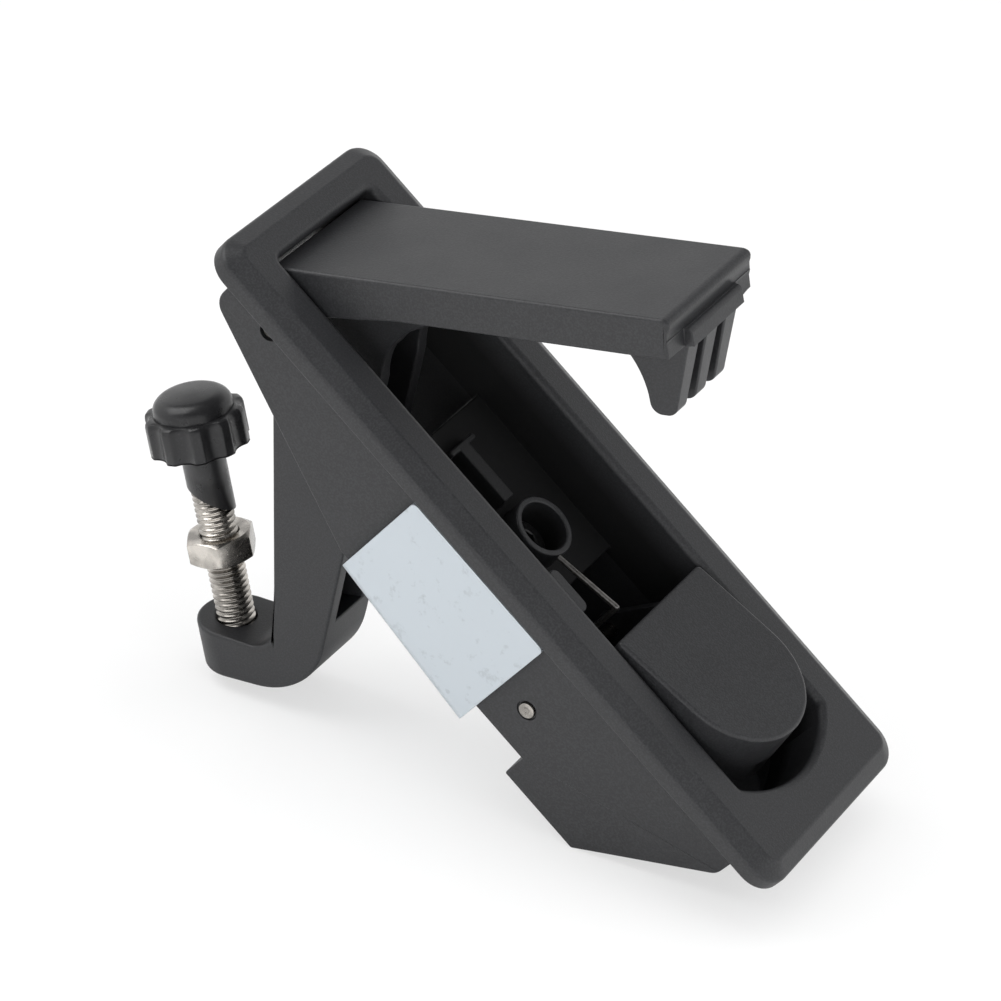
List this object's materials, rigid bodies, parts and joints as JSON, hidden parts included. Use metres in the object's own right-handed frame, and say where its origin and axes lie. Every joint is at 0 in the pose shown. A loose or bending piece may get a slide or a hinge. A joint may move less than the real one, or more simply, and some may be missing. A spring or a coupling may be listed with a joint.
{
  "type": "compression latch",
  "caption": "Flush compression latch: a pan with a lift handle and J-shaped hook arm, an adjustable bumper, a push button release and a clamping bracket.",
  "frame": {"origin": "centre of the flange's flat seating face, the face that lies on the panel", "axes": "+X from the handle's pivot end to the push button's end, +Y across the flange, +Z out of the panel towards the user"},
  "size_m": [0.16, 0.0536, 0.1647],
  "materials": {
    "black_powder": "dark grey powder coat, fine texture",
    "nickel_steel": "nickel plated",
    "dark_steel": "black oxide",
    "spring_steel": "drawn wire",
    "black_plastic": "semi-gloss moulded",
    "zinc_steel": "bright zinc plated"
  },
  "bodies": {
    "pan": {"housing": "black_powder", "pivot_pin": "nickel_steel", "handle_spring_near": "spring_steel", "handle_spring_far": "spring_steel", "button_pin": "nickel_steel", "button_spring": "spring_steel", "clamp_washer": "dark_steel"},
    "lever": {"handle": "black_powder", "hook_arm": "black_powder", "arm_screw_1": "dark_steel", "arm_screw_2": "dark_steel"},
    "button": {"push_button": "black_powder"},
    "screw": {"adjusting_screw": "nickel_steel"},
    "knob": {"bumper_knob": "black_plastic", "screw_sleeve": "black_plastic"},
    "locknut": {"lock_nut": "nickel_steel"},
    "clampscrew": {"clamp_screw": "dark_steel"},
    "bracket": {"clamp_nut": "zinc_steel", "mounting_bracket": "zinc_steel"}
  },
  "joints": [
    {"name": "lever_swing", "type": "hinge", "parent": "pan", "child": "lever", "pos_m": [-0.06215, 0, -0.0067], "axis": [0, 1, 0], "range_deg": [0, 48.82], "stiffness_Nm_per_rad": 0.2, "springref_deg": -51.57, "deforming": ["handle_spring_near", "handle_spring_far"]},
    {"name": "button_press", "type": "hinge", "parent": "pan", "child": "button", "pos_m": [0.02493, 0, -0.02133], "axis": [0, 1, 0], "range_deg": [0, 12], "stiffness_Nm_per_rad": 0.08, "springref_deg": -28.65, "deforming": ["button_spring"]},
    {"name": "screw_feed", "type": "slide", "parent": "lever", "child": "screw", "axis": [-0.773, 0, 0.6345], "range_m": [-0.004, 0.004]},
    {"name": "knob_turn", "type": "hinge", "parent": "screw", "child": "knob", "pos_m": [-0.05927, 0, -0.05809], "axis": [-0.773, 0, 0.6345], "range_deg": [-1153, 1153]},
    {"name": "lock_nut_travel", "type": "slide", "parent": "screw", "child": "locknut", "axis": [-0.773, 0, 0.6345], "range_m": [-0.008, 0]},
    {"name": "clamp_turn", "type": "hinge", "parent": "pan", "child": "clampscrew", "pos_m": [0.00042, 0, -0.012], "axis": [0, 0, 1], "range_deg": [0, 2161]},
    {"name": "clamp_travel", "type": "slide", "parent": "pan", "child": "bracket", "axis": [0, 0, 1], "range_m": [-0.006, 0]}
  ],
  "couplings": [
    {"joint": "knob_turn", "follows": "screw_feed", "rad_per_m": 5026.5},
    {"joint": "clamp_turn", "follows": "clamp_travel", "rad_per_m": -6283.2}
  ]
}
